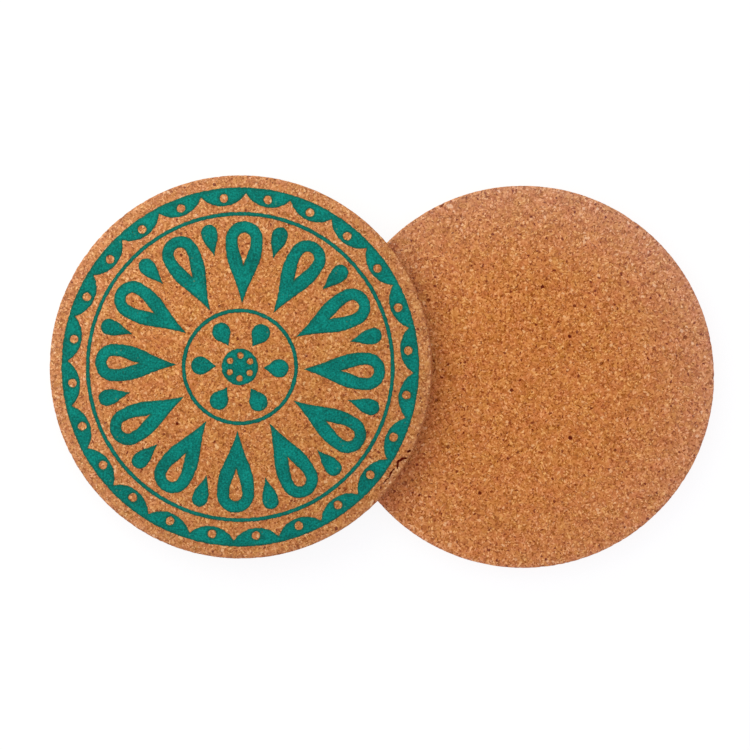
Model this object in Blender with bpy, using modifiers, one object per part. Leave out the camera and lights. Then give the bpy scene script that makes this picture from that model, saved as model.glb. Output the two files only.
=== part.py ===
"""Two round cork coasters: a printed one leaning on the rim of a plain one.

Units are metres and +Z is up. The table is the plane z = 0, the coasters lie side by side
along X, and the origin is on the table under the middle of the pair.
"""

import math

import bmesh
import bpy

# Cork discs, both cut with one die
COASTER_DIAMETER = 0.100
COASTER_THICKNESS = 0.005
EDGE_ROUND = 0.0004
DISC_SIDES = 128
EDGE_SEGMENTS = 3

# How the printed coaster leans: its low edge is on the table, its underside on the plain one's rim
OVERLAP = 0.0264
SEAT_GAP = 0.0003
TABLE_GAP = 0.0003

# Dried ink film and the sliver of air that keeps it from cutting into the cork
INK_THICKNESS = 0.00008
INK_GAP = 0.00002

# Printed border: a ring with lobes on its inner edge and a round window in every lobe
PRINT_MARGIN = 0.0032
BORDER_BAND = 0.0016
LOBE_COUNT = 24
LOBE_DEPTH = 0.0034
LOBE_RIM = 0.0012
WINDOW_RADIUS = 0.0011

# Printed rings, and the bare cork kept between one ring of motifs and the next
RING_WIDTH = 0.0010
MOTIF_GAP = 0.0014

# Printed petals between the two rings, each with a bare eye, and a drop between every two petals
PETAL_COUNT = 12
PETAL_WIDTH = 0.0098
EYE_WIDTH = 0.0034
EYE_LENGTH = 0.0085
EYE_SET_BACK = 0.0030
DROP_WIDTH = 0.0042
DROP_LENGTH = 0.0085

# Printed middle: a hub with round windows and a ring of buds round it
HUB_RADIUS = 0.0048
HUB_RIM = 0.0010
HUB_WINDOW_COUNT = 6
HUB_WINDOW_RADIUS = 0.0008
BUD_COUNT = 6
BUD_WIDTH = 0.0048
BUD_LENGTH = 0.0066

# Outline detail: steps drawn in one curve piece, pieces in a large and in a small circle, and the
# lean of the border's cusps
CURVE_STEPS = 8
RING_PIECES = 16
DOT_PIECES = 4
CUSP_LEAN = math.radians(32)

# Colours, linear RGBA
CORK_COLOR = (0.54, 0.19, 0.053, 1.0)
INK_COLOR = (0.005, 0.188, 0.153, 1.0)

# Sizes that follow from those above
COASTER_RADIUS = COASTER_DIAMETER / 2
BORDER_OUTER = COASTER_RADIUS - PRINT_MARGIN
CUSP_RADIUS = BORDER_OUTER - BORDER_BAND
LOBE_TIP_RADIUS = CUSP_RADIUS - LOBE_DEPTH
WINDOW_RING = LOBE_TIP_RADIUS + LOBE_RIM + WINDOW_RADIUS
OUTER_RING_OUTER = LOBE_TIP_RADIUS - MOTIF_GAP
OUTER_RING_INNER = OUTER_RING_OUTER - RING_WIDTH
HUB_WINDOW_RING = HUB_RADIUS - HUB_RIM - HUB_WINDOW_RADIUS
BUD_START = HUB_RADIUS + MOTIF_GAP
BUD_END = BUD_START + BUD_LENGTH
INNER_RING_INNER = BUD_END + MOTIF_GAP
INNER_RING_OUTER = INNER_RING_INNER + RING_WIDTH
PETAL_START = INNER_RING_OUTER + MOTIF_GAP
PETAL_END = OUTER_RING_INNER - MOTIF_GAP
EYE_END = PETAL_END - EYE_SET_BACK

# The lean. The rounding of the printed coaster's low edge and that of the plain coaster's rim have
# their centres LEAN_REACH apart along the slope and LEAN_STEP apart across it.
LEAN_REACH = COASTER_DIAMETER - OVERLAP
LEAN_STEP = 2 * EDGE_ROUND + SEAT_GAP
LEAN_RISE = COASTER_THICKNESS - 2 * EDGE_ROUND - TABLE_GAP
LEAN_SPAN = math.hypot(LEAN_REACH, LEAN_STEP)
RISE_ANGLE = math.asin(LEAN_RISE / LEAN_SPAN)
LEAN_ANGLE = RISE_ANGLE + math.atan2(LEAN_STEP, LEAN_REACH)
LEAN_COS = math.cos(LEAN_ANGLE)
LEAN_SIN = math.sin(LEAN_ANGLE)

# Where the two coasters stand, with the pair's box centred on the origin
LEVEL_SPAN = LEAN_SPAN * math.cos(RISE_ANGLE)
EDGE_INSET = COASTER_RADIUS - EDGE_ROUND
PLAIN_X = (LEVEL_SPAN + (COASTER_THICKNESS - 2 * EDGE_ROUND) * LEAN_SIN) / 2
LOW_EDGE_X = PLAIN_X - EDGE_INSET - LEVEL_SPAN
LOW_EDGE_Z = EDGE_ROUND + TABLE_GAP
PRINTED_X = LOW_EDGE_X + EDGE_INSET * LEAN_COS + EDGE_ROUND * LEAN_SIN
PRINTED_Z = LOW_EDGE_Z + EDGE_INSET * LEAN_SIN - EDGE_ROUND * LEAN_COS
INK_MIDDLE = COASTER_THICKNESS + INK_GAP + INK_THICKNESS / 2


def clear_scene():
    """Remove what the default scene holds."""
    for thing in list(bpy.data.objects):
        bpy.data.objects.remove(thing, do_unlink=True)


def make_material(name, color, roughness):
    """Make a Principled material of one colour."""
    material = bpy.data.materials.new(name)
    material.use_nodes = True
    shader = material.node_tree.nodes["Principled BSDF"]
    shader.inputs["Base Color"].default_value = color
    shader.inputs["Roughness"].default_value = roughness
    return material


def make_collection(name):
    """Make a collection in the scene to hold the parts."""
    collection = bpy.data.collections.new(name)
    bpy.context.scene.collection.children.link(collection)
    return collection


def make_empty(name, place, turn, collection):
    """Make an empty that places one coaster."""
    empty = bpy.data.objects.new(name, None)
    empty.location = place
    empty.rotation_euler = turn
    collection.objects.link(empty)
    return empty


def make_disc(name, parent, material, collection):
    """Make a cork disc with rounded edges, standing on its parent's XY plane."""
    mesh = bpy.data.meshes.new(name)
    body = bmesh.new()
    bmesh.ops.create_cone(
        body,
        cap_ends=True,
        segments=DISC_SIDES,
        radius1=COASTER_RADIUS,
        radius2=COASTER_RADIUS,
        depth=COASTER_THICKNESS,
    )
    bmesh.ops.translate(body, verts=body.verts, vec=(0.0, 0.0, COASTER_THICKNESS / 2))
    for face in body.faces:
        face.smooth = abs(face.normal.z) < 0.5
    body.to_mesh(mesh)
    body.free()
    mesh.materials.append(material)
    disc = bpy.data.objects.new(name, mesh)
    rounding = disc.modifiers.new("edge_rounding", "BEVEL")
    rounding.width = EDGE_ROUND
    rounding.segments = EDGE_SEGMENTS
    rounding.limit_method = "ANGLE"
    rounding.angle_limit = math.radians(40)
    disc.parent = parent
    collection.objects.link(disc)
    return disc


def polar(radius, angle):
    """Turn a radius and an angle into a point."""
    return (radius * math.cos(angle), radius * math.sin(angle))


def moved(point, step, scale=1.0):
    """Move a point by a scaled step."""
    return (point[0] + step[0] * scale, point[1] + step[1] * scale)


def circle_outline(radius, pieces, center=(0.0, 0.0)):
    """Outline of a circle: a list of (point, handle before, handle after)."""
    outline = []
    reach = 4 / 3 * math.tan(math.pi / (2 * pieces)) * radius
    for index in range(pieces):
        angle = 2 * math.pi * index / pieces
        point = moved(center, polar(radius, angle))
        along = polar(1.0, angle + math.pi / 2)
        outline.append((point, moved(point, along, -reach), moved(point, along, reach)))
    return outline


def drop_outline(start, end, width):
    """Outline of a drop along +X, pointed where it starts and round where it ends."""
    half = width / 2
    round_x = end - half
    reach = 4 / 3 * math.tan(math.pi / 8) * half
    slope = 0.55 * (round_x - start)
    return [
        ((start, 0.0), (start + slope, half * 0.55), (start + slope, -half * 0.55)),
        ((round_x, -half), (round_x - slope * 0.8, -half), (round_x + reach, -half)),
        ((end, 0.0), (end, -reach), (end, reach)),
        ((round_x, half), (round_x + reach, half), (round_x - slope * 0.8, half)),
    ]


def lobed_outline(cusp_radius, depth, count):
    """Outline of a ring of lobes that swell inward from cusp to cusp.

    The handles of a cusp lean away from the radius, so that every cusp keeps an open angle.
    """
    outline = []
    pitch = 2 * math.pi / count
    sagitta = cusp_radius * (1 - math.cos(pitch / 2))
    reach = 4 / 3 * (depth - sagitta) / math.cos(CUSP_LEAN)
    for index in range(count):
        angle = pitch * index
        point = polar(cusp_radius, angle)
        before = moved(point, polar(reach, angle + math.pi + CUSP_LEAN))
        after = moved(point, polar(reach, angle + math.pi - CUSP_LEAN))
        outline.append((point, before, after))
    return outline


def dot_outlines(count, ring_radius, dot_radius):
    """Outlines of round dots spread on a ring, the first one half a step past the X axis."""
    outlines = []
    for index in range(count):
        middle = polar(ring_radius, 2 * math.pi * (index + 0.5) / count)
        outlines.append(circle_outline(dot_radius, DOT_PIECES, middle))
    return outlines


def make_ink(name, outlines, angle, parent, material, collection):
    """Make one island of ink from flat outlines, turned about the coaster's axis.

    The first outline is the edge of the island and the others are windows in it.
    """
    curve = bpy.data.curves.new(name, "CURVE")
    curve.dimensions = "2D"
    curve.fill_mode = "BOTH"
    curve.extrude = INK_THICKNESS / 2
    curve.resolution_u = CURVE_STEPS
    curve.render_resolution_u = 0
    for outline in outlines:
        spline = curve.splines.new("BEZIER")
        spline.bezier_points.add(len(outline) - 1)
        spline.use_cyclic_u = True
        for knot, (point, before, after) in zip(spline.bezier_points, outline):
            knot.handle_left_type = "FREE"
            knot.handle_right_type = "FREE"
            knot.co = (*point, 0.0)
            knot.handle_left = (*before, 0.0)
            knot.handle_right = (*after, 0.0)
    curve.materials.append(material)
    island = bpy.data.objects.new(name, curve)
    island.location = (0.0, 0.0, INK_MIDDLE)
    island.rotation_euler = (0.0, 0.0, angle)
    island.parent = parent
    collection.objects.link(island)
    return island


def make_print(parent, material, collection):
    """Print the rosette: border, rings, petals, drops, buds and the hub in the middle."""
    border = [circle_outline(BORDER_OUTER, RING_PIECES)]
    border.append(lobed_outline(CUSP_RADIUS, LOBE_DEPTH, LOBE_COUNT))
    border += dot_outlines(LOBE_COUNT, WINDOW_RING, WINDOW_RADIUS)
    make_ink("print_border", border, 0.0, parent, material, collection)

    rings = {
        "print_outer_ring": (OUTER_RING_OUTER, OUTER_RING_INNER),
        "print_inner_ring": (INNER_RING_OUTER, INNER_RING_INNER),
    }
    for name, radii in rings.items():
        outlines = [circle_outline(radius, RING_PIECES) for radius in radii]
        make_ink(name, outlines, 0.0, parent, material, collection)

    petal = [drop_outline(PETAL_START, PETAL_END, PETAL_WIDTH)]
    petal.append(drop_outline(EYE_END - EYE_LENGTH, EYE_END, EYE_WIDTH))
    drop = [drop_outline(PETAL_END - DROP_LENGTH, PETAL_END, DROP_WIDTH)]
    for index in range(PETAL_COUNT):
        petal_angle = 2 * math.pi * index / PETAL_COUNT
        drop_angle = 2 * math.pi * (index + 0.5) / PETAL_COUNT
        make_ink(f"print_petal_{index + 1:02d}", petal, petal_angle, parent, material, collection)
        make_ink(f"print_drop_{index + 1:02d}", drop, drop_angle, parent, material, collection)

    bud = [drop_outline(BUD_START, BUD_END, BUD_WIDTH)]
    for index in range(BUD_COUNT):
        bud_angle = 2 * math.pi * index / BUD_COUNT
        make_ink(f"print_bud_{index + 1:02d}", bud, bud_angle, parent, material, collection)

    hub = [circle_outline(HUB_RADIUS, RING_PIECES)]
    hub += dot_outlines(HUB_WINDOW_COUNT, HUB_WINDOW_RING, HUB_WINDOW_RADIUS)
    make_ink("print_hub", hub, 0.0, parent, material, collection)


def main():
    """Build the pair of coasters."""
    clear_scene()
    collection = make_collection("cork_coaster_pair")
    cork = make_material("cork", CORK_COLOR, 0.85)
    ink = make_material("printed_ink", INK_COLOR, 0.5)

    plain = make_empty("plain_coaster_place", (PLAIN_X, 0.0, 0.0), (0.0, 0.0, 0.0), collection)
    printed = make_empty(
        "printed_coaster_place", (PRINTED_X, 0.0, PRINTED_Z), (0.0, -LEAN_ANGLE, 0.0), collection
    )
    make_disc("plain_cork_disc", plain, cork, collection)
    make_disc("printed_cork_disc", printed, cork, collection)
    make_print(printed, ink, collection)


main()
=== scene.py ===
"""Looks of the cork coaster pair: a printed coaster leaning on the rim of a plain one.

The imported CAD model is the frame. The cork discs and the ink islands are rebuilt as finer meshes on
the places of their CAD nodes, with procedural cork and ink. Mesh work is in millimetres in the frame
of each coaster, and the finished meshes are in metres in the frame of the part.
"""

import logging
import math
import random
from dataclasses import dataclass
from enum import Enum

import bmesh
import bpy
from bmesh.types import BMEdge, BMesh, BMVert
from bpy.types import Material, Node, NodeTree, Object
from bpy.types import NodeSocket as Socket
from mathutils import Matrix, Vector, noise
from mathutils.bvhtree import BVHTree
from mathutils.kdtree import KDTree


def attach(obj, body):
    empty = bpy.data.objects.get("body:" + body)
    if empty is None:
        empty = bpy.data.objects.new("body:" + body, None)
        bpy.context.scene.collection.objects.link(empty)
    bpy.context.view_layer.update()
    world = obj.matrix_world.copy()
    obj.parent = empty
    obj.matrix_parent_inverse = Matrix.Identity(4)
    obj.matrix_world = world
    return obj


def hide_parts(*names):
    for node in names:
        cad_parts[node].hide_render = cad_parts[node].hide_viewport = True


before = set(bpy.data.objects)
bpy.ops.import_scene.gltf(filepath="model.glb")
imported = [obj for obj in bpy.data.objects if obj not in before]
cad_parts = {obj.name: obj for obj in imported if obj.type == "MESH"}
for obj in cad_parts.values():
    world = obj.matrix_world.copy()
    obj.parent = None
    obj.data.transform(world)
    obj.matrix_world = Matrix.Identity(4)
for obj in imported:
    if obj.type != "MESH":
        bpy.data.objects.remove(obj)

MM = 0.001
IMAGE_PX = 750

# Seed of the noise that makes outlines ragged, which is otherwise another one in each run.
NOISE_SEED = 1
# Direction along which the points and faces of a mesh are put in order, which otherwise changes by run.
ORDER = Vector((1.0, 0.618, 0.382))

# Points of a smooth disc whose heights differ by less lie on one face.
FLAT_MM = 0.001

# Sockets of the Mix node, which share their names and are told apart by number.
MIX_SHARE = 0
MIX_VALUE_A = 2
MIX_VALUE_B = 3
MIX_COLOR_A = 6
MIX_COLOR_B = 7
MIX_COLOR_OUT = 2

Rgba = tuple[float, float, float, float]
Stops = tuple[tuple[float, str], ...]

log = logging.getLogger("cork_coasters")


class Slot(Enum):
    """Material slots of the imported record."""

    CORK = "cork"
    INK = "ink"


class Body(Enum):
    """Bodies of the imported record."""

    PLAIN = "plain_coaster"
    PRINTED = "printed_coaster"


class Blend(Enum):
    """How a plain colour is laid over another."""

    OVER = "MIX"
    TINT = "MULTIPLY"
    VEIL = "SCREEN"


Layer = tuple[Socket, Rgba, Blend]


def linear(code: str) -> Rgba:
    """Turn an sRGB hex colour into linear RGBA.

    Args:
        code: Colour such as "#c27841".

    Returns:
        Linear red, green, blue and an alpha of 1.
    """
    channels = [int(code[i : i + 2], 16) / 255 for i in (1, 3, 5)]
    light = [c / 12.92 if c <= 0.04045 else ((c + 0.055) / 1.055) ** 2.4 for c in channels]
    return (*light, 1.0)


def point_tree(points: list[Vector]) -> KDTree:
    """Make a balanced tree of points, numbered in their order."""
    tree = KDTree(len(points))
    for index, point in enumerate(points):
        tree.insert(point, index)
    tree.balance()
    return tree


def polar(reach: float, turn: float, height: float) -> Vector:
    """Point at a distance from the upright axis, at a turn in radians and a height."""
    return Vector((reach * math.cos(turn), reach * math.sin(turn), height))


def per_mm(size: float) -> float:
    """Texture scale on metre coordinates that gives features of a size in millimetres."""
    return 1.0 / (size * MM)


def add_node(
    tree: NodeTree,
    kind: str,
    settings: dict[str | int, object] | None = None,
    links: dict[str | int, Socket] | None = None,
) -> Node:
    """Add a node with its settings and links.

    Args:
        tree: Node tree that takes the node.
        kind: Node type, such as "ShaderNodeTexNoise".
        settings: Options by name, and input sockets by name or number, with their values.
        links: Input sockets by name or number, with the output sockets that feed them.

    Returns:
        The new node.
    """
    node = tree.nodes.new(kind)
    for key, value in (settings or {}).items():
        if isinstance(key, str) and hasattr(node, key):
            setattr(node, key, value)
        else:
            node.inputs[key].default_value = value
    for key, source in (links or {}).items():
        tree.links.new(source, node.inputs[key])
    return node


def set_stops(ramp: Node, stops: Stops) -> None:
    """Give a colour ramp its stops.

    Args:
        ramp: Colour ramp node.
        stops: Positions and hex colours, in order.
    """
    elements = ramp.color_ramp.elements
    while len(elements) < len(stops):
        elements.new(0.5)
    for element, (position, code) in zip(elements, stops):
        element.position = position
        element.color = linear(code)


def lay_over(tree: NodeTree, color: Socket, layers: list[Layer]) -> Socket:
    """Lay plain colours over a colour, one after another.

    Args:
        tree: Node tree of the material.
        color: Colour below.
        layers: Share of each plain colour, the linear colour itself, and how it blends.

    Returns:
        The colour with all its layers.
    """
    for share, plain, blend in layers:
        color = add_node(
            tree,
            "ShaderNodeMix",
            {"data_type": "RGBA", "blend_type": blend.value, MIX_COLOR_B: plain},
            {MIX_SHARE: share, MIX_COLOR_A: color},
        ).outputs[MIX_COLOR_OUT]
    return color


def new_material(name: str) -> tuple[Material, NodeTree, Node]:
    """Make a material with its Principled shader.

    Args:
        name: Name of the material.

    Returns:
        The material, its node tree and the shader node.
    """
    material = bpy.data.materials.new(name)
    material.use_nodes = True
    return material, material.node_tree, material.node_tree.nodes["Principled BSDF"]


@dataclass(frozen=True)
class Chips:
    """Chips of one kind among the granules: their size, how many there are and how they cover."""

    size_mm: float
    share: float
    color: str
    cover: float


@dataclass(frozen=True)
class CorkFinish:
    """Agglomerated cork, moulded from bark granules in a resin binder and sanded.

    It gives the eye a matte orange-brown of small crumbs in many tones, larger granules that differ
    a little in hue, a slow drift between pink and gold, dark bark crumbs, cream flakes, fine dark
    joints, a veil of pale sanding dust and painted glare towards the edge and on one side, and painted
    shade that darkens the far side.
    """

    granule_mm: float = 1.1
    crumb_mm: tuple[float, float, float] = (0.68, 0.29, 0.40)
    # Crumbs are turned about X and Y by radians, and about Z in one of several ways for each granule.
    grain_tilt: tuple[float, float] = (0.6, 0.4)
    grain_deg: tuple[float, ...] = (15.0, 75.0, 135.0)
    warp_mm: float = 0.36
    warp_size_mm: float = 0.9
    # Half width of a joint in granules, where it is dark and where it ends.
    joint_width: tuple[float, float] = (0.03, 0.11)
    joint_cover: float = 0.5
    joint_break_mm: float = 1.6
    # Levels of a noise between which a joint comes out.
    joint_break: tuple[float, float] = (0.50, 0.62)
    relief_mm: float = 0.05
    ripple_mm: float = 0.36
    ripple_share: float = 0.8
    bump: float = 0.5
    # Roughness of the darkest crumbs and of the palest.
    roughness: tuple[float, float] = (0.95, 0.78)
    specular: float = 0.07
    tones: Stops = (
        (0.00, "#9d5514"),
        (0.10, "#b3682d"),
        (0.25, "#c5773f"),
        (0.50, "#d28449"),
        (0.75, "#de9155"),
        (0.90, "#eca368"),
        (1.00, "#fcbc82"),
    )
    hues: Stops = ((0.0, "#f4e8e4"), (0.5, "#fffaf0"), (1.0, "#ffffea"))
    drift_mm: float = 4.0
    drifts: Stops = ((0.2, "#fff8f9"), (0.8, "#f8ffec"))
    chips: tuple[Chips, ...] = (
        Chips(0.39, 0.040, "#7a1c00", 0.60),
        Chips(0.59, 0.009, "#6a1000", 0.80),
        Chips(0.44, 0.022, "#ffc084", 0.40),
        Chips(0.66, 0.009, "#ffc68a", 0.60),
    )
    # A chip covers the lots under its share and ends at this many times the share.
    chip_end: float = 1.1
    joint: str = "#7a3514"
    # Pale veil of sanding dust and painted glare, laid over the cork.
    dust_and_glare: str = "#38393e"
    # Factor by which the dust and painted glare raise each linear channel of the cork below it.
    wash: Rgba = (1.0, 1.16, 1.8, 1.0)
    # Painted shade: a duller tint that darkens the side of a disc away from the light.
    painted_shade: str = "#edf0e6"
    # Dark of the pits, which also paints the shade inside the cracks.
    pit: str = "#641000"

    def make(self) -> Material:
        """Make the material.

        Returns:
            The cork material, which reads the piece's attributes of dust and painted glare, of painted
            shade, and of the dark in pits and cracks.
        """
        material, tree, shader = new_material("agglomerated_cork_sanded")
        place = add_node(tree, "ShaderNodeTexCoord").outputs["Object"]
        bent = self._bend(tree, place)
        granule = add_node(
            tree, "ShaderNodeTexVoronoi", {"Scale": per_mm(self.granule_mm)}, {"Vector": bent}
        )
        lots = add_node(tree, "ShaderNodeSeparateColor", links={0: granule.outputs["Color"]})
        tone = self._grain(tree, bent, lots.outputs[1])
        color = self._tint(tree, place, tone, lots.outputs[0])
        color = lay_over(tree, color, self._layers(tree, place, bent))
        tree.links.new(color, shader.inputs["Base Color"])

        ripple = add_node(
            tree,
            "ShaderNodeTexNoise",
            {"Scale": per_mm(self.ripple_mm), "Detail": 1.0},
            {"Vector": place},
        ).outputs[0]
        hollow = add_node(
            tree,
            "ShaderNodeMath",
            {"operation": "MULTIPLY_ADD", 1: self.ripple_share},
            {0: ripple, 2: granule.outputs["Distance"]},
        ).outputs[0]
        bump = add_node(
            tree,
            "ShaderNodeBump",
            {"invert": True, "Strength": self.bump, "Distance": self.relief_mm * MM},
            {"Height": hollow},
        )
        tree.links.new(bump.outputs[0], shader.inputs["Normal"])
        rough_dark, rough_pale = self.roughness
        rough = add_node(
            tree, "ShaderNodeMapRange", {"To Min": rough_dark, "To Max": rough_pale}, {"Value": tone}
        )
        tree.links.new(rough.outputs[0], shader.inputs["Roughness"])
        shader.inputs["Specular IOR Level"].default_value = self.specular
        return material

    def _tint(self, tree: NodeTree, place: Socket, tone: Socket, lot: Socket) -> Socket:
        """Colour the crumbs by their tone, tinted for each granule and by a slow drift.

        Args:
            tree: Node tree of the material.
            place: Straight coordinates.
            tone: Tone of the crumb, from 0 to 1.
            lot: Number of the granule from 0 to 1, which picks its hue.

        Returns:
            The colour of the bare granules.
        """
        drift = add_node(
            tree, "ShaderNodeTexNoise", {"Scale": per_mm(self.drift_mm)}, {"Vector": place}
        ).outputs[0]
        color = None
        for value, stops in ((tone, self.tones), (lot, self.hues), (drift, self.drifts)):
            ramp = add_node(tree, "ShaderNodeValToRGB", links={0: value})
            set_stops(ramp, stops)
            if color is None:
                color = ramp.outputs[0]
                continue
            color = add_node(
                tree,
                "ShaderNodeMix",
                {"data_type": "RGBA", "blend_type": Blend.TINT.value, MIX_SHARE: 1.0},
                {MIX_COLOR_A: color, MIX_COLOR_B: ramp.outputs[0]},
            ).outputs[MIX_COLOR_OUT]
        return color

    def _layers(self, tree: NodeTree, place: Socket, bent: Socket) -> list[Layer]:
        """List what lies over the granules: joints, chips, dust and painted glare, painted shade, and
        dark pits and cracks.

        Args:
            tree: Node tree of the material.
            place: Straight coordinates.
            bent: Coordinates of the granules.

        Returns:
            Share, linear colour and blend of each layer, from the lowest up.
        """
        dust_and_glare, painted_shade, pit = (
            add_node(tree, "ShaderNodeAttribute", {"attribute_name": name}).outputs["Fac"]
            for name in ("dust_and_glare", "painted_shade", "pit")
        )
        layers = [(self._joints(tree, place, bent), linear(self.joint), Blend.OVER)]
        for chips in self.chips:
            layers.append((self._scatter(tree, bent, chips), linear(chips.color), Blend.OVER))
        # Dust and painted glare pale the cork towards the edge and on the better lit side.
        layers.append((dust_and_glare, self.wash, Blend.TINT))
        layers.append((dust_and_glare, linear(self.dust_and_glare), Blend.VEIL))
        # Painted shade darkens the side away from the light.
        layers.append((painted_shade, linear(self.painted_shade), Blend.TINT))
        # Pits are painted dark, and cracks dark as painted shade.
        layers.append((pit, linear(self.pit), Blend.OVER))
        return layers

    def _bend(self, tree: NodeTree, place: Socket) -> Socket:
        """Bend the coordinates a little, so that granules are uneven.

        Args:
            tree: Node tree of the material.
            place: Straight coordinates.

        Returns:
            The bent coordinates.
        """
        wander = add_node(
            tree,
            "ShaderNodeTexNoise",
            {"Scale": per_mm(self.warp_size_mm), "Detail": 1.0},
            {"Vector": place},
        )
        return add_node(
            tree,
            "ShaderNodeVectorMath",
            {"operation": "MULTIPLY_ADD", 1: (self.warp_mm * MM,) * 3},
            {0: wander.outputs["Color"], 2: place},
        ).outputs[0]

    def _grain(self, tree: NodeTree, bent: Socket, lot: Socket) -> Socket:
        """Give every crumb a tone, with crumbs that lie one of several ways in each granule.

        Args:
            tree: Node tree of the material.
            bent: Coordinates of the granules.
            lot: Number of the granule from 0 to 1, which picks its grain.

        Returns:
            The tone, from 0 to 1.
        """
        tone = None
        for index, turn in enumerate(self.grain_deg):
            laid = add_node(
                tree,
                "ShaderNodeMapping",
                {
                    "vector_type": "TEXTURE",
                    "Rotation": (*self.grain_tilt, math.radians(turn)),
                    "Scale": tuple(size * MM for size in self.crumb_mm),
                },
                {"Vector": bent},
            ).outputs[0]
            cells = add_node(tree, "ShaderNodeTexVoronoi", {"Scale": 1.0}, {"Vector": laid})
            crumb = add_node(
                tree, "ShaderNodeSeparateColor", links={0: cells.outputs["Color"]}
            ).outputs[1]
            if tone is None:
                tone = crumb
                continue
            limit = index / len(self.grain_deg)
            picked = add_node(
                tree, "ShaderNodeMath", {"operation": "GREATER_THAN", 1: limit}, {0: lot}
            ).outputs[0]
            tone = add_node(
                tree,
                "ShaderNodeMix",
                {"data_type": "FLOAT"},
                {MIX_SHARE: picked, MIX_VALUE_A: tone, MIX_VALUE_B: crumb},
            ).outputs[0]
        return tone

    def _joints(self, tree: NodeTree, place: Socket, bent: Socket) -> Socket:
        """Draw the dark joints between granules, broken where the binder fills them.

        Args:
            tree: Node tree of the material.
            place: Straight coordinates.
            bent: Coordinates of the granules.

        Returns:
            Share of the joint colour.
        """
        gap = add_node(
            tree,
            "ShaderNodeTexVoronoi",
            {"feature": "DISTANCE_TO_EDGE", "Scale": per_mm(self.granule_mm)},
            {"Vector": bent},
        ).outputs["Distance"]
        dark, end = self.joint_width
        line = add_node(
            tree,
            "ShaderNodeMapRange",
            {"From Min": dark, "From Max": end, "To Min": self.joint_cover, "To Max": 0.0},
            {"Value": gap},
        )
        broken = add_node(
            tree,
            "ShaderNodeTexNoise",
            {"Scale": per_mm(self.joint_break_mm), "Detail": 1.0},
            {"Vector": place},
        ).outputs[0]
        none, full = self.joint_break
        kept = add_node(
            tree, "ShaderNodeMapRange", {"From Min": none, "From Max": full}, {"Value": broken}
        )
        return add_node(
            tree,
            "ShaderNodeMath",
            {"operation": "MULTIPLY"},
            {0: line.outputs[0], 1: kept.outputs[0]},
        ).outputs[0]

    def _scatter(self, tree: NodeTree, bent: Socket, chips: Chips) -> Socket:
        """Scatter chips of one kind.

        Args:
            tree: Node tree of the material.
            bent: Coordinates of the granules.
            chips: Size, number and cover of the chips.

        Returns:
            Share of the chips' colour.
        """
        cells = add_node(
            tree, "ShaderNodeTexVoronoi", {"Scale": per_mm(chips.size_mm)}, {"Vector": bent}
        )
        lot = add_node(
            tree, "ShaderNodeSeparateColor", links={0: cells.outputs["Color"]}
        ).outputs[2]
        end = chips.share * self.chip_end
        return add_node(
            tree,
            "ShaderNodeMapRange",
            {"From Min": chips.share, "From Max": end, "To Min": chips.cover, "To Max": 0.0},
            {"Value": lot},
        ).outputs[0]


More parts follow.
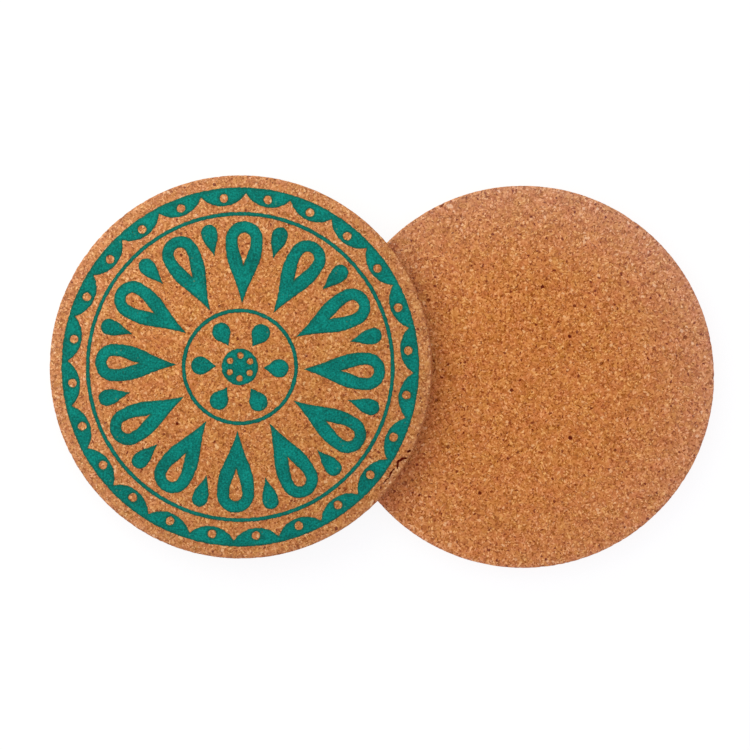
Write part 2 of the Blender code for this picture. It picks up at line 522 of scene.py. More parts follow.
@dataclass(frozen=True)
class InkFinish:
    """Screen-printing ink, pulled through a mesh on to cork and dried.

    It gives the eye an opaque teal with a low sheen, mottled, with small pale spots where the film is
    thin over a granule, dark ones where it pooled in a pit, and a thin dark rim where the ink gathered
    along the stencil and soaked into the cork.
    """

    mottle_mm: float = 0.45
    cloud_mm: float = 5.0
    cloud_share: float = 0.3
    tones: Stops = ((0.36, "#005a50"), (0.50, "#01766a"), (0.64, "#099082"))
    # Spots are cells whose lot, weighted, plus the way to their middle stays low.
    spot_mm: float = 1.3
    spot_lot: float = 0.35
    spot_edge: tuple[float, float] = (0.14, 0.24)
    spot_cover: float = 0.6
    relief_mm: float = 0.05
    bump: float = 0.5
    # Roughness at a low and at a high level of the mottle.
    mottle_levels: tuple[float, float] = (0.3, 0.7)
    roughness: tuple[float, float] = (0.62, 0.5)
    specular: float = 0.08
    thin: str = "#5f8a66"
    pool: str = "#00423a"
    rim: str = "#134f3a"

    def make(self) -> Material:
        """Make the material.

        Returns:
            The ink material, which reads the piece's attribute rim.
        """
        material, tree, shader = new_material("screen_print_ink_teal")
        place = add_node(tree, "ShaderNodeTexCoord").outputs["Object"]
        mottle = add_node(
            tree,
            "ShaderNodeTexNoise",
            {"Scale": per_mm(self.mottle_mm), "Detail": 3.0},
            {"Vector": place},
        ).outputs[0]
        cloud = add_node(
            tree, "ShaderNodeTexNoise", {"Scale": per_mm(self.cloud_mm)}, {"Vector": place}
        ).outputs[0]
        tone = add_node(
            tree,
            "ShaderNodeMix",
            {"data_type": "FLOAT", MIX_SHARE: self.cloud_share},
            {MIX_VALUE_A: mottle, MIX_VALUE_B: cloud},
        ).outputs[0]
        ramp = add_node(tree, "ShaderNodeValToRGB", links={0: tone})
        set_stops(ramp, self.tones)
        cells = add_node(
            tree, "ShaderNodeTexVoronoi", {"Scale": per_mm(self.spot_mm)}, {"Vector": place}
        )
        lots = add_node(tree, "ShaderNodeSeparateColor", links={0: cells.outputs["Color"]})
        layers = []
        for lot, spot in ((lots.outputs[2], self.thin), (lots.outputs[0], self.pool)):
            far = add_node(
                tree,
                "ShaderNodeMath",
                {"operation": "MULTIPLY_ADD", 1: self.spot_lot},
                {0: lot, 2: cells.outputs["Distance"]},
            ).outputs[0]
            full, end = self.spot_edge
            mask = add_node(
                tree,
                "ShaderNodeMapRange",
                {"From Min": full, "From Max": end, "To Min": self.spot_cover, "To Max": 0.0},
                {"Value": far},
            ).outputs[0]
            layers.append((mask, linear(spot), Blend.OVER))
        rim = add_node(tree, "ShaderNodeAttribute", {"attribute_name": "rim"}).outputs["Fac"]
        layers.append((rim, linear(self.rim), Blend.OVER))
        color = lay_over(tree, ramp.outputs[0], layers)
        tree.links.new(color, shader.inputs["Base Color"])
        bump = add_node(
            tree,
            "ShaderNodeBump",
            {"Strength": self.bump, "Distance": self.relief_mm * MM},
            {"Height": mottle},
        )
        tree.links.new(bump.outputs[0], shader.inputs["Normal"])
        low, high = self.mottle_levels
        dull, glossy = self.roughness
        rough = add_node(
            tree,
            "ShaderNodeMapRange",
            {"From Min": low, "From Max": high, "To Min": dull, "To Max": glossy},
            {"Value": mottle},
        )
        tree.links.new(rough.outputs[0], shader.inputs["Roughness"])
        shader.inputs["Specular IOR Level"].default_value = self.specular
        return material


@dataclass(frozen=True)
class Crack:
    """Open crack in the upper face, as a line of (radius mm, angle deg) points, with a pale lip, painted
    dark inside as the shade in the crevice.
    """

    line: tuple[tuple[float, float], ...]
    half_width_mm: float
    depth_mm: float
    # Share of the width at both ends, and how much more of it the middle has.
    end_share: float = 0.45
    swell: float = 0.55
    uneven: float = 0.6
    uneven_size_mm: float = 0.7
    ragged_mm: float = 0.16
    ragged_size_mm: float = 0.45
    steep: float = 1.8
    reach_mm: float = 9.0
    # Pale crumbs and painted glare on the lip, starting at a share of the width and ending at a distance.
    lip: float = 0.5
    lip_start: float = 0.6
    lip_mm: float = 1.3


@dataclass(frozen=True)
class Pit:
    """Small hollow where a crumb fell out, at a radius and an angle on the upper face or the edge."""

    radius_mm: float
    angle_deg: float
    size_mm: float
    depth_mm: float
    dark: float = 0.8


@dataclass(frozen=True)
class WallPits:
    """Pits scattered over the wall: their number, sizes, depths as shares of the size, and darkness."""

    count: int = 60
    size_mm: float = 0.3
    size_spread: float = 0.4
    largest_mm: float = 0.7
    depth: tuple[float, float] = (0.3, 0.5)
    dark: float = 0.6


@dataclass(frozen=True)
class DustAndGlare:
    """Pale sanding dust and painted glare on a disc. It starts at a share of the radius and lies thickest
    at one angle, where the disc is painted as better lit.
    """

    share: float = 0.62
    from_deg: float = 90.0
    lean: float = 0.3
    even: float = 0.7
    start: float = 0.3
    span: float = 0.65
    most: float = 1.1
    power: float = 2.2
    wall_loss: float = 0.5
    # Painted glare even over the whole disc, and a pale band at the very edge.
    haze: float = 0.0
    rubbed: float = 0.3
    rubbed_start: float = 0.97
    rubbed_span: float = 0.03


@dataclass(frozen=True)
class Relief:
    """Shape of the sanded face and of the cut wall, with depths and sizes in millimetres."""

    granule_mm: float = 1.5
    joint_width: float = 0.22
    joint_mm: float = 0.03
    step_mm: float = 0.016
    step_scale: float = 3.7
    ripple_mm: float = 0.014
    ripple_size_mm: float = 0.8
    # The wall is rougher than the sanded face, and its edges have crumbled.
    wall_gain: float = 2.0
    crumble_mm: float = 0.22
    crumble_size_mm: float = 2.1
    crumb_share: float = 0.5
    crumb_size_mm: float = 0.9
    crumble_wall: float = 2.0
    # Pits have ragged outlines and steep sides, and those on the edge sit a little down the rounding.
    pit_reach_mm: float = 1.2
    pit_ragged: float = 0.4
    pit_ragged_mm: float = 0.4
    pit_steep: float = 2.2
    pit_drop: float = 0.3
    # Deepest hollow: in millimetres in a face, and as a share of the edge's rounding elsewhere.
    face_limit_mm: float = 0.9
    face_wall: float = 0.05
    edge_limit: float = 0.95
    # Step of the pattern from one seed to the next.
    shift_mm: tuple[float, float, float] = (17.3, -9.1, 5.7)


@dataclass(frozen=True)
class DiscMap:
    """Places of a disc's faces in a square texture: upper face, underside and four strips of wall.

    The upper face takes most of the texture, because it is what a table shows.
    """

    name: str = "OFBake"
    top_middle: float = 0.352
    top_per_mm: float = 0.0070
    under_middle: float = 0.768
    under_per_mm: float = 0.0046
    strips: int = 4
    strip_start: float = 0.004
    strip_low: float = 0.72
    strip_pitch: float = 0.05
    wall_per_mm: float = 0.0066


@dataclass
class CorkDisc:
    """One die-cut cork disc with its granules, pits and crumbled edge."""

    name: str
    node: str
    body: Body
    place: Matrix
    seed: int
    cracks: tuple[Crack, ...] = ()
    pits: tuple[Pit, ...] = ()
    dust_and_glare: DustAndGlare = DustAndGlare()
    # Strength of the painted shade that darkens one side.
    painted_shade: float = 0.0
    relief: Relief = Relief()
    wall_pits: WallPits = WallPits()
    radius_mm: float = 50.0
    thickness_mm: float = 5.0
    edge_mm: float = 0.4
    face_cells: int = 240
    underside_cells: int = 96
    wall_rings: int = 9
    round_rings: int = 3
    # Edges this near to a crack or a pit, above this share of the height, are cut finer.
    fine_mm: float = 0.9
    fine_above: float = 0.6
    fine_cuts: int = 3

    def build(self, material: Material) -> tuple[Object, BVHTree]:
        """Build the disc.

        Args:
            material: Cork material.

        Returns:
            The finished piece, and its surface in millimetres in the coaster's frame.
        """
        shell = bmesh.new()
        self._form(shell)
        self._refine(shell)
        self._map(shell, DiscMap())
        self._roughen(shell)
        surface = BVHTree.FromBMesh(shell)
        piece = finish_piece(shell, self.name, self.place, material)
        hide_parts(self.node)
        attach(piece, self.body.value)
        return piece, surface

    def _form(self, shell: BMesh) -> None:
        """Form the plain disc: a gridded upper face, a rounded wall and a gridded underside."""
        flat = self.radius_mm - self.edge_mm
        bmesh.ops.create_grid(shell, x_segments=self.face_cells, y_segments=self.face_cells, size=1.0)
        for vert in shell.verts:
            vert.co = (*self._to_disc(vert.co.x, vert.co.y, flat), self.thickness_mm)
        ring = [edge for edge in shell.edges if edge.is_boundary]
        for radius, height in self._profile():
            grown = bmesh.ops.extrude_edge_only(shell, edges=ring)["geom"]
            for vert in (item for item in grown if isinstance(item, BMVert)):
                vert.co = polar(radius, math.atan2(vert.co.y, vert.co.x), height)
            ring = [item for item in grown if isinstance(item, BMEdge)]
        cells = self.underside_cells
        under = bmesh.ops.create_grid(shell, x_segments=cells, y_segments=cells, size=1.0)["verts"]
        for vert in under:
            vert.co = (*self._to_disc(vert.co.x, vert.co.y, flat - self.edge_mm), 0.0)
        rim = {edge for vert in under for edge in vert.link_edges if edge.is_boundary}
        bmesh.ops.bridge_loops(shell, edges=ring + list(rim))
        bmesh.ops.recalc_face_normals(shell, faces=shell.faces)

    def _profile(self) -> list[tuple[float, float]]:
        """Radii and heights of the rings from the upper face round the wall to the underside."""
        edge = self.edge_mm
        flat = self.radius_mm - edge
        top = self.thickness_mm - edge
        wall = self.thickness_mm - 2 * edge
        turns = [math.pi / 2 * step / self.round_rings for step in range(1, self.round_rings + 1)]
        rings = [(flat + edge * math.sin(turn), top + edge * math.cos(turn)) for turn in turns]
        for step in range(1, self.wall_rings + 1):
            rings.append((self.radius_mm, top - wall * step / self.wall_rings))
        rings += [(flat + edge * math.cos(turn), edge * (1 - math.sin(turn))) for turn in turns]
        return rings

    @staticmethod
    def _to_disc(across: float, along: float, radius: float) -> tuple[float, float]:
        """Carry a point of the square from -1 to 1 on to a disc, keeping areas even.

        Args:
            across: Place across the square.
            along: Place along the square.
            radius: Radius of the disc.

        Returns:
            The point on the disc.
        """
        if across == 0.0 and along == 0.0:
            return (0.0, 0.0)
        if abs(across) > abs(along):
            reach, turn = across, math.pi / 4 * along / across
        else:
            reach, turn = along, math.pi / 2 - math.pi / 4 * across / along
        return (radius * reach * math.cos(turn), radius * reach * math.sin(turn))

    def _refine(self, shell: BMesh) -> None:
        """Give the mesh smaller faces where a crack or a pit needs them."""
        spots = [point for crack in self.cracks for point in self._crack_points(crack)]
        spots += [self._pit_point(pit) for pit in self.pits]
        if not spots:
            return
        tree = point_tree(spots)
        near = []
        for edge in shell.edges:
            middle = (edge.verts[0].co + edge.verts[1].co) / 2
            if middle.z > self.thickness_mm * self.fine_above and tree.find(middle)[2] < self.fine_mm:
                near.append(edge)
        bmesh.ops.subdivide_edges(shell, edges=near, cuts=self.fine_cuts, use_grid_fill=True)
        bmesh.ops.triangulate(shell, faces=[face for face in shell.faces if len(face.verts) > 4])

    def _map(self, shell: BMesh, layout: DiscMap) -> None:
        """Lay the smooth disc's faces out for a texture, giving the upper face the most room so that it
        stays sharp.

        Args:
            shell: Disc before it is roughened.
            layout: Places in the texture.
        """
        layer = shell.loops.layers.uv.new(layout.name)
        strip_turn = 2 * math.pi / layout.strips
        for face in shell.faces:
            heights = [vert.co.z for vert in face.verts]
            middle = face.calc_center_median()
            strip = int(math.atan2(middle.y, middle.x) % (2 * math.pi) / strip_turn)
            strip_middle = (strip + 0.5) * strip_turn
            for loop in face.loops:
                point = loop.vert.co
                if min(heights) > self.thickness_mm - FLAT_MM:
                    across = layout.top_middle + point.x * layout.top_per_mm
                    along = layout.top_middle + point.y * layout.top_per_mm
                elif max(heights) < FLAT_MM:
                    across = layout.under_middle - point.x * layout.under_per_mm
                    along = layout.under_middle + point.y * layout.under_per_mm
                else:
                    turned = Matrix.Rotation(-strip_middle, 2) @ point.xy
                    turn = math.atan2(turned.y, turned.x) + strip_turn / 2
                    across = layout.strip_start + turn * self.radius_mm * layout.wall_per_mm
                    along = layout.strip_low + strip * layout.strip_pitch
                    along += self._way_down(point) * layout.wall_per_mm
                loop[layer].uv = (across, along)

    def _way_down(self, point: Vector) -> float:
        """Way from the upper face over the rounded edge and down the wall to a point, roughly, in mm."""
        reach = math.hypot(point.x, point.y)
        drop = self.thickness_mm - point.z
        if point.z > self.thickness_mm / 2:
            return drop + reach - (self.radius_mm - self.edge_mm)
        return drop + self.edge_mm + self.radius_mm - reach

    def _crack_points(self, crack: Crack) -> list[Vector]:
        """Points of a crack on the upper face, in millimetres."""
        return [polar(radius, math.radians(angle), self.thickness_mm) for radius, angle in crack.line]

    def _pit_point(self, pit: Pit) -> Vector:
        """Middle of a pit on the upper face or the upper edge, in millimetres."""
        drop = self.relief.pit_drop * self.edge_mm
        reach = min(pit.radius_mm, self.radius_mm - drop)
        lift = self.thickness_mm - (drop if reach > self.radius_mm - self.edge_mm else 0.0)
        return polar(reach, math.radians(pit.angle_deg), lift)

    def _all_pits(self) -> list[tuple[Vector, float, float, float]]:
        """List the named pits and scatter more over the wall.

        Returns:
            Middle, size, depth and darkness of each pit.
        """
        pits = [(self._pit_point(pit), pit.size_mm, pit.depth_mm, pit.dark) for pit in self.pits]
        dice = random.Random(self.seed)
        wall = self.wall_pits
        for _ in range(wall.count):
            turn = dice.uniform(0.0, 2 * math.pi)
            lift = dice.uniform(0.0, self.thickness_mm)
            growth = math.exp(abs(dice.gauss(0.0, wall.size_spread)))
            size = min(wall.largest_mm, wall.size_mm * growth)
            depth = size * dice.uniform(*wall.depth)
            pits.append((polar(self.radius_mm, turn, lift), size, depth, wall.dark))
        return pits

    def _roughen(self, shell: BMesh) -> None:
        """Sink the granule joints, pits, cracks and crumbled edge into the disc, and note them, with the
        dust and painted glare and the painted shade at each point.
        """
        dust_and_glare_layer = shell.verts.layers.float.new("dust_and_glare")
        painted_shade_layer = shell.verts.layers.float.new("painted_shade")
        pit_layer = shell.verts.layers.float.new("pit")
        pits = self._all_pits()
        tree = point_tree([pit[0] for pit in pits])
        relief = self.relief
        shift = Vector([step * self.seed for step in relief.shift_mm])
        flat = self.radius_mm - self.edge_mm
        moves = []
        for vert in shell.verts:
            point = vert.co
            reach = math.hypot(point.x, point.y)
            inward = min(1.0, flat / reach) if reach > 0.0 else 1.0
            core_z = min(max(point.z, self.edge_mm), self.thickness_mm - self.edge_mm)
            core = Vector((point.x * inward, point.y * inward, core_z))
            outward = (point - core).normalized()
            wall = math.hypot(outward.x, outward.y)
            depth = self._granule_depth(point + shift) * (1.0 + relief.wall_gain * wall)
            depth += self._crumble_depth(point, shift) * min(1.0, relief.crumble_wall * wall)
            dark = 0.0
            for _, index, gap in tree.find_range(point, relief.pit_reach_mm):
                size, deep, shade = pits[index][1:]
                uneven = noise.noise((point + shift) / relief.pit_ragged_mm)
                ragged = gap * (1.0 + relief.pit_ragged * uneven)
                fall = min(1.0, relief.pit_steep * max(0.0, 1.0 - (ragged / size) ** 2))
                depth += deep * fall
                dark = max(dark, shade * fall)
            # Share of dust and painted glare at this point, less on the wall.
            dust_and_glare = self._dust_and_glare_share(point, reach) * (1.0 - self.dust_and_glare.wall_loss * wall)
            for crack in self.cracks:
                gap, width = self._crack_gap(crack, point)
                fall = min(1.0, crack.steep * max(0.0, 1.0 - (gap / width) ** 2))
                depth += crack.depth_mm * fall
                # The inside of a crack is painted dark: painted shade in the crevice.
                dark = max(dark, fall)
                if gap > crack.lip_start * width:
                    dust_and_glare += crack.lip * max(0.0, 1.0 - gap / crack.lip_mm)
            vert[dust_and_glare_layer] = min(1.0, dust_and_glare)
            # Painted shade, darker on the side away from the light.
            vert[painted_shade_layer] = self._painted_shade(point)
            vert[pit_layer] = dark
            in_face = wall < relief.face_wall
            limit = relief.face_limit_mm if in_face else relief.edge_limit * self.edge_mm
            moves.append((vert, point - outward * min(depth, limit)))
        for vert, target in moves:
            vert.co = target

    def _dust_and_glare_share(self, point: Vector, reach: float) -> float:
        """Share of pale dust and painted glare, which grows towards the rubbed edge and lies thicker on
        the better lit side.
        """
        dust_and_glare = self.dust_and_glare
        outer = min(dust_and_glare.most, max(0.0, (reach / self.radius_mm - dust_and_glare.start) / dust_and_glare.span))
        turn = math.atan2(point.y, point.x) - math.radians(dust_and_glare.from_deg)
        drift = dust_and_glare.share * outer**dust_and_glare.power * (dust_and_glare.even + dust_and_glare.lean * math.cos(turn))
        edge = max(0.0, (reach / self.radius_mm - dust_and_glare.rubbed_start) / dust_and_glare.rubbed_span)
        return min(1.0, dust_and_glare.haze + drift + dust_and_glare.rubbed * edge)

    def _painted_shade(self, point: Vector) -> float:
        """Share of the painted shade, from nothing on the side with dust and painted glare to its most on
        the far side.
        """
        dusty = math.radians(self.dust_and_glare.from_deg)
        toward = (point.x * math.cos(dusty) + point.y * math.sin(dusty)) / self.radius_mm
        return self.painted_shade * (0.5 - 0.5 * toward)

    def _granule_depth(self, point: Vector) -> float:
        """Depth of the sanded surface at a point, from granule joints and a fine ripple."""
        relief = self.relief
        gaps, middles = noise.voronoi(point / relief.granule_mm)
        joint = max(0.0, 1.0 - (gaps[1] - gaps[0]) / relief.joint_width)
        step = 0.5 + 0.5 * noise.noise(middles[0] * relief.step_scale)
        ripple = 0.5 + 0.5 * noise.noise(point / relief.ripple_size_mm)
        return relief.joint_mm * joint * joint + relief.step_mm * step + relief.ripple_mm * ripple

    def _crumble_depth(self, point: Vector, shift: Vector) -> float:
        """Depth to which a cut edge has crumbled at a point, in uneven stretches."""
        relief = self.relief
        crumble = noise.noise((point + shift) / relief.crumble_size_mm)
        crumble += relief.crumb_share * noise.noise((point - shift) / relief.crumb_size_mm)
        return relief.crumble_mm * max(0.0, crumble) ** 2

    def _crack_gap(self, crack: Crack, point: Vector) -> tuple[float, float]:
        """Measure from a crack's line to a point.

        Args:
            crack: Crack in the upper face.
            point: Point of the disc in millimetres.

        Returns:
            Distance from the line, above 0 towards the disc's edge, and half the crack's width there.
        """
        points = self._crack_points(crack)
        found = (math.inf, 1.0)
        middle = points[len(points) // 2]
        if point.z < self.thickness_mm / 2 or (point - middle).length > crack.reach_mm:
            return found
        ragged = point + noise.noise_vector(point / crack.ragged_size_mm) * crack.ragged_mm
        for index in range(len(points) - 1):
            start, end = points[index], points[index + 1]
            along = end - start
            share = min(1.0, max(0.0, (ragged - start).dot(along) / along.length_squared))
            nearest = start + along * share
            gap = math.copysign((ragged - nearest).length, ragged.xy.length - nearest.xy.length)
            run = (index + share) / (len(points) - 1)
            width = crack.half_width_mm * (crack.end_share + crack.swell * math.sin(math.pi * run))
            width *= 1.0 + crack.uneven * noise.noise(point / crack.uneven_size_mm)
            if abs(gap) * found[1] < abs(found[0]) * width:
                found = (gap, width)
        return found


@dataclass
class InkPrint:
    """Printed rosette: one film of ink for each island of the CAD print, laid over the cork."""

    body: Body
    place: Matrix
    thickness_mm: float = 5.0
    film_mm: float = 0.06
    sink_mm: float = 0.16
    # Least upward part of the normal of a face that counts as the upper one.
    upward: float = 0.9
    weld_m: float = 1e-7
    facet_mm: float = 0.5
    merge_mm: float = 0.002
    most_rounds: int = 9
    smooth_rounds: int = 2
    smooth: float = 0.5
    ragged_mm: float = 0.15
    ragged_size_mm: float = 0.75
    rim_mm: float = 0.7
    rim: float = 0.8
    # Height over the cork from which the film is dropped on to it.
    drop_mm: float = 2.0

    def islands(self) -> list[str]:
        """Names of the CAD nodes that are islands of ink."""
        return sorted(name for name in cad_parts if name.startswith("print_"))

    def build(self, island: str, surface: BVHTree, material: Material) -> Object:
        """Build one island.

        Args:
            island: Name of the CAD node.
            surface: Cork surface in millimetres in the coaster's frame.
            material: Ink material.

        Returns:
            The finished piece.
        """
        film = bmesh.new()
        film.from_mesh(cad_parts[island].data)
        bmesh.ops.remove_doubles(film, verts=film.verts, dist=self.weld_m)
        bmesh.ops.transform(film, matrix=to_millimetres(self.place), verts=film.verts)
        self._keep_upper_face(film)
        self._refine(film)
        self._note_rim(film)
        self._lay(film, surface)
        self._thicken(film)
        piece = finish_piece(film, island.replace("print_", "ink_"), self.place, material)
        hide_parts(island)
        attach(piece, self.body.value)
        return piece

    def _keep_upper_face(self, film: BMesh) -> None:
        """Keep only the upper face of the island."""
        film.normal_update()
        middle = self.thickness_mm + self.film_mm
        others = []
        for face in film.faces:
            if face.normal.z < self.upward or face.calc_center_median().z < middle:
                others.append(face)
        bmesh.ops.delete(film, geom=others, context="FACES")

    def _refine(self, film: BMesh) -> None:
        """Divide the face until no edge is longer than a facet, and even the facets out."""
        for _ in range(self.most_rounds):
            long_edges = [edge for edge in film.edges if edge.calc_length() > self.facet_mm]
            if not long_edges:
                break
            bmesh.ops.subdivide_edges(film, edges=long_edges, cuts=1)
            bmesh.ops.remove_doubles(film, verts=film.verts, dist=self.merge_mm)
            bmesh.ops.triangulate(film, faces=film.faces)
            inner = [edge for edge in film.edges if not edge.is_boundary]
            bmesh.ops.beautify_fill(film, faces=film.faces, edges=inner, method="ANGLE")
        for _ in range(self.smooth_rounds):
            loose = [vert for vert in film.verts if not vert.is_boundary]
            bmesh.ops.smooth_vert(film, verts=loose, factor=self.smooth, use_axis_x=True, use_axis_y=True)

    def _note_rim(self, film: BMesh) -> None:
        """Note how near every point is to the outline, for the darker rim."""
        layer = film.verts.layers.float.new("rim")
        tree = point_tree([vert.co for vert in film.verts if vert.is_boundary])
        for vert in film.verts:
            vert[layer] = self.rim * max(0.0, 1.0 - tree.find(vert.co)[2] / self.rim_mm)

    def _lay(self, film: BMesh, surface: BVHTree) -> None:
        """Make the outline ragged and lay the film over the cork."""
        down = Vector((0.0, 0.0, -1.0))
        for vert in film.verts:
            if vert.is_boundary:
                drift = noise.noise_vector(vert.co / self.ragged_size_mm) * self.ragged_mm
                vert.co.x += drift.x
                vert.co.y += drift.y
            above = Vector((vert.co.x, vert.co.y, self.thickness_mm + self.drop_mm))
            hit = surface.ray_cast(above, down)[0]
            vert.co.z = (hit.z if hit else self.thickness_mm) + self.film_mm

    def _thicken(self, film: BMesh) -> None:
        """Carry the film down into the cork, so that it has closed sides and an underside."""
        grown = bmesh.ops.extrude_face_region(film, geom=film.faces, use_keep_orig=True)["geom"]
        lower = [item for item in grown if isinstance(item, BMVert)]
        bmesh.ops.translate(film, verts=lower, vec=(0.0, 0.0, -self.sink_mm))
        bmesh.ops.recalc_face_normals(film, faces=film.faces)


def to_millimetres(place: Matrix) -> Matrix:
    """Matrix from metres in the part's frame to millimetres in a coaster's frame."""
    return Matrix.Scale(1.0 / MM, 4) @ place.inverted()


def finish_piece(shape: BMesh, name: str, place: Matrix, material: Material) -> Object:
    """Turn a shape in a coaster's frame into a piece in the part's frame.

    Args:
        shape: Mesh in millimetres; it is freed.
        name: Name of the piece.
        place: Coaster's place in the part.
        material: Material of the piece.

    Returns:
        The new object, at the origin.
    """
    bmesh.ops.transform(shape, matrix=place @ Matrix.Scale(MM, 4), verts=shape.verts)
    shape.verts.sort(key=lambda vert: vert.co.dot(ORDER))
    shape.faces.sort(key=lambda face: face.calc_center_median().dot(ORDER))
    for face in shape.faces:
        face.smooth = True
    mesh = bpy.data.meshes.new(name)
    shape.to_mesh(mesh)
    shape.free()
    mesh.materials.append(material)
    piece = bpy.data.objects.new(name, mesh)
    bpy.context.scene.collection.objects.link(piece)
    log.info("%s: %d faces", name, len(mesh.polygons))
    return piece


@dataclass
class Studio:
    """White floor, soft light from the upper left and a camera straight overhead."""

    floor_m: float = 8.0
    paper: str = "#fdfdfd"
    # Share and strength of the glow that keeps the paper white to the eye.
    paper_share: float = 0.85
    paper_glow: float = 1.04
    backdrop: str = "#ffffff"
    # Width of the view at the table, and where the middle of the pair is in the picture.
    view_m: float = 0.1968
    center_px: tuple[float, float] = (381.9, 371.9)
    roll_deg: float = 2.0
    distance_m: float = 1.2
    clip_m: float = 20.0
    sensor_mm: float = 36.0
    # The key light is wider across than along, as the soft sides of the photographed shadow are.
    key_from: tuple[float, float, float] = (-0.1572, 0.1686, 0.2074)
    key_m: tuple[float, float] = (0.60, 0.28)
    key_w: float = 0.594
    key_color: str = "#f3ffcb"
    sky: float = 0.817
    sky_color: str = "#f1ebff"

    def build(self) -> None:
        """Build the floor, the lights and the camera."""
        self._floor()
        self._lights()
        self._camera()
        bpy.context.scene.view_settings.view_transform = "Standard"

    def _floor(self) -> None:
        """Lay the floor."""
        shape = bmesh.new()
        bmesh.ops.create_grid(shape, x_segments=1, y_segments=1, size=self.floor_m / 2)
        mesh = bpy.data.meshes.new("floor")
        shape.to_mesh(mesh)
        shape.free()
        mesh.materials.append(self._paper())
        floor = bpy.data.objects.new("floor", mesh)
        bpy.context.scene.collection.objects.link(floor)

    def _paper(self) -> Material:
        """Make the floor's white paper, which looks white and keeps a faint shadow.

        Returns:
            The paper material.
        """
        material, tree, shader = new_material("white_paper")
        shader.inputs["Base Color"].default_value = linear(self.paper)
        shader.inputs["Roughness"].default_value = 1.0
        shader.inputs["Specular IOR Level"].default_value = 0.0
        share = add_node(
            tree,
            "ShaderNodeMath",
            {"operation": "MULTIPLY", 1: self.paper_share},
            {0: self._plain_sight(tree)},
        ).outputs[0]
        glow = add_node(tree, "ShaderNodeEmission", {"Strength": self.paper_glow})
        mixed = add_node(
            tree,
            "ShaderNodeMixShader",
            links={0: share, 1: shader.outputs[0], 2: glow.outputs[0]},
        )
        tree.links.new(mixed.outputs[0], tree.nodes["Material Output"].inputs["Surface"])
        return material

    @staticmethod
    def _plain_sight(tree: NodeTree) -> Socket:
        """Tell rays that see a thing, straight or by gloss or glass, from rays that light others.

        Args:
            tree: Node tree that asks.

        Returns:
            1 for a ray that sees, 0 for one that lights.
        """
        path = add_node(tree, "ShaderNodeLightPath")
        seen = path.outputs["Is Camera Ray"]
        for kind in ("Is Glossy Ray", "Is Transmission Ray"):
            either = {0: seen, 1: path.outputs[kind]}
            seen = add_node(tree, "ShaderNodeMath", {"operation": "MAXIMUM"}, either).outputs[0]
        return seen

    def _lights(self) -> None:
        """Set the sky and the key light."""
        world = bpy.data.worlds.new("white_room")
        world.use_nodes = True
        tree = world.node_tree
        backdrop = tree.nodes["Background"]
        seen = self._plain_sight(tree)
        level = add_node(
            tree, "ShaderNodeMapRange", {"To Min": self.sky, "To Max": 1.0}, {"Value": seen}
        )
        tree.links.new(level.outputs[0], backdrop.inputs["Strength"])
        shade = add_node(
            tree,
            "ShaderNodeMix",
            {
                "data_type": "RGBA",
                MIX_COLOR_A: linear(self.sky_color),
                MIX_COLOR_B: linear(self.backdrop),
            },
            {MIX_SHARE: seen},
        )
        tree.links.new(shade.outputs[MIX_COLOR_OUT], backdrop.inputs["Color"])
        bpy.context.scene.world = world
        lamp = bpy.data.lights.new("key_light", "AREA")
        lamp.shape = "ELLIPSE"
        lamp.size, lamp.size_y = self.key_m
        lamp.energy = self.key_w
        lamp.color = linear(self.key_color)[:3]
        key = bpy.data.objects.new("key_light", lamp)
        key.location = self.key_from
        key.visible_camera = False
        key.rotation_euler = (-Vector(self.key_from)).to_track_quat("-Z", "Y").to_euler()
        bpy.context.scene.collection.objects.link(key)

    def _camera(self) -> None:
        """Hang the camera over the pair, turned and moved as the photograph is framed."""
        lens = bpy.data.cameras.new("overhead_camera")
        lens.sensor_width = self.sensor_mm
        lens.lens = self.sensor_mm * self.distance_m / self.view_m
        lens.clip_end = self.clip_m
        camera = bpy.data.objects.new("overhead_camera", lens)
        roll = math.radians(self.roll_deg)
        scale = self.view_m / IMAGE_PX
        right = (IMAGE_PX / 2 - self.center_px[0]) * scale
        up = (self.center_px[1] - IMAGE_PX / 2) * scale
        turned = Matrix.Rotation(roll, 4, "Z")
        offset = turned @ Vector((right, up, 0.0))
        camera.location = (offset.x, offset.y, self.distance_m)
        camera.rotation_euler = (0.0, 0.0, roll)
        bpy.context.scene.collection.objects.link(camera)
        bpy.context.scene.camera = camera


# Hollows and cracks that the photograph shows: radius, angle, size, depth and darkness of each pit.
PLAIN_PITS = (
    Pit(49.9, 117.4, 0.8, 0.4),
    Pit(41.6, -136.1, 0.75, 0.2, 0.55),
    Pit(39.6, -135.0, 0.45, 0.2, 0.7),
    Pit(23.5, -163.0, 0.5, 0.2, 0.7),
    Pit(31.9, 143.1, 0.5, 0.2, 0.7),
    Pit(20.2, -50.3, 0.59, 0.2, 0.97),
    Pit(24.1, 79.8, 0.52, 0.2, 0.97),
    Pit(16.1, 43.0, 0.51, 0.2, 0.97),
    Pit(4.6, -128.5, 0.53, 0.2, 0.9),
    Pit(26.9, -134.8, 0.5, 0.2, 0.7),
    Pit(43.6, 15.6, 0.6, 0.2, 0.65),
    Pit(32.4, -108.3, 0.53, 0.2, 0.9),
    Pit(22.9, 56.0, 0.5, 0.15, 0.7),
    Pit(30.8, -36.5, 0.45, 0.15, 0.8),
    Pit(20.8, 11.6, 0.46, 0.15, 0.6),
    Pit(48.0, 74.6, 0.45, 0.1, 0.35),
    Pit(48.0, 73.9, 0.45, 0.1, 0.35),
)
PRINTED_PITS = (
    Pit(49.4, -24.2, 0.4, 0.35, 1.0),
    Pit(49.1, -24.6, 0.35, 0.35, 1.0),
    Pit(49.9, -18.9, 0.5, 0.3, 0.8),
    Pit(22.1, -136.0, 0.53, 0.2, 0.95),
    Pit(42.1, -47.1, 0.46, 0.15, 0.55),
    Pit(23.4, -39.0, 0.42, 0.15, 0.5),
)
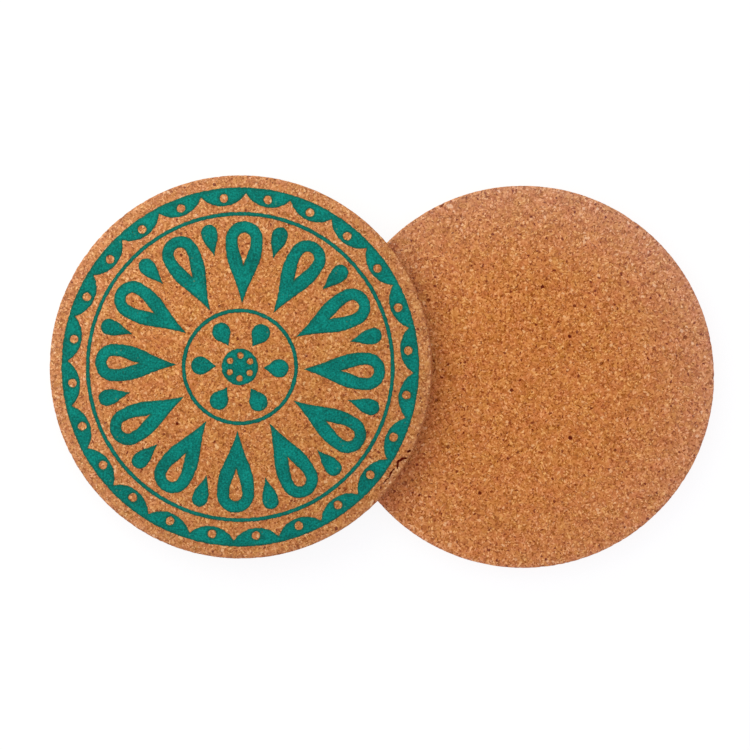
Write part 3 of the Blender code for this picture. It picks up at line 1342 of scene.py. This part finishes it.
PRINTED_CRACKS = (
    Crack(
        (
            *((49.68, -26.3), (49.44, -26.8), (48.89, -27.2)),
            *((48.56, -27.7), (48.17, -28.4), (48.05, -29.1)),
            *((48.48, -29.6), (48.62, -30.2), (48.91, -30.7)),
        ),
        half_width_mm=0.39,
        depth_mm=0.50,
    ),
    Crack(
        ((48.23, -31.4), (48.13, -32.4), (48.15, -33.3), (48.47, -34.2)),
        half_width_mm=0.27,
        depth_mm=0.40,
    ),
    Crack(
        ((48.47, -34.2), (48.38, -34.8), (48.18, -35.7), (48.24, -36.1), (48.06, -36.9)),
        half_width_mm=0.19,
        depth_mm=0.25,
    ),
)


@dataclass
class CoasterPair:
    """The plain coaster on the table and the printed one that leans on it."""

    plain_x_mm: float = 36.895
    printed_x_mm: float = -36.6971
    printed_z_mm: float = 3.6688
    lean_deg: float = 3.8934

    def build(self) -> None:
        """Build both coasters and the print."""
        cork = CorkFinish().make()
        ink = InkFinish().make()
        plain_place = Matrix.Translation((self.plain_x_mm * MM, 0.0, 0.0))
        lean = Matrix.Rotation(-math.radians(self.lean_deg), 4, "Y")
        printed_place = Matrix.Translation((self.printed_x_mm * MM, 0.0, self.printed_z_mm * MM)) @ lean
        plain = CorkDisc(
            "plain_coaster_cork",
            "plain_cork_disc",
            Body.PLAIN,
            plain_place,
            seed=3,
            pits=PLAIN_PITS,
            dust_and_glare=DustAndGlare(from_deg=65.0, lean=0.45),
        )
        plain.build(cork)
        printed = CorkDisc(
            "printed_coaster_cork",
            "printed_cork_disc",
            Body.PRINTED,
            printed_place,
            seed=8,
            cracks=PRINTED_CRACKS,
            pits=PRINTED_PITS,
            dust_and_glare=DustAndGlare(share=0.35, from_deg=150.0, haze=0.16, rubbed=0.2),
            painted_shade=1.0,
        )
        _, surface = printed.build(cork)
        rosette = InkPrint(Body.PRINTED, printed_place)
        for island in rosette.islands():
            rosette.build(island, surface, ink)


def main() -> None:
    """Build the pair and the studio."""
    logging.basicConfig(level=logging.INFO, format="%(message)s")
    noise.seed_set(NOISE_SEED)
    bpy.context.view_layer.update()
    CoasterPair().build()
    Studio().build()


if __name__ == "__main__":
    main()
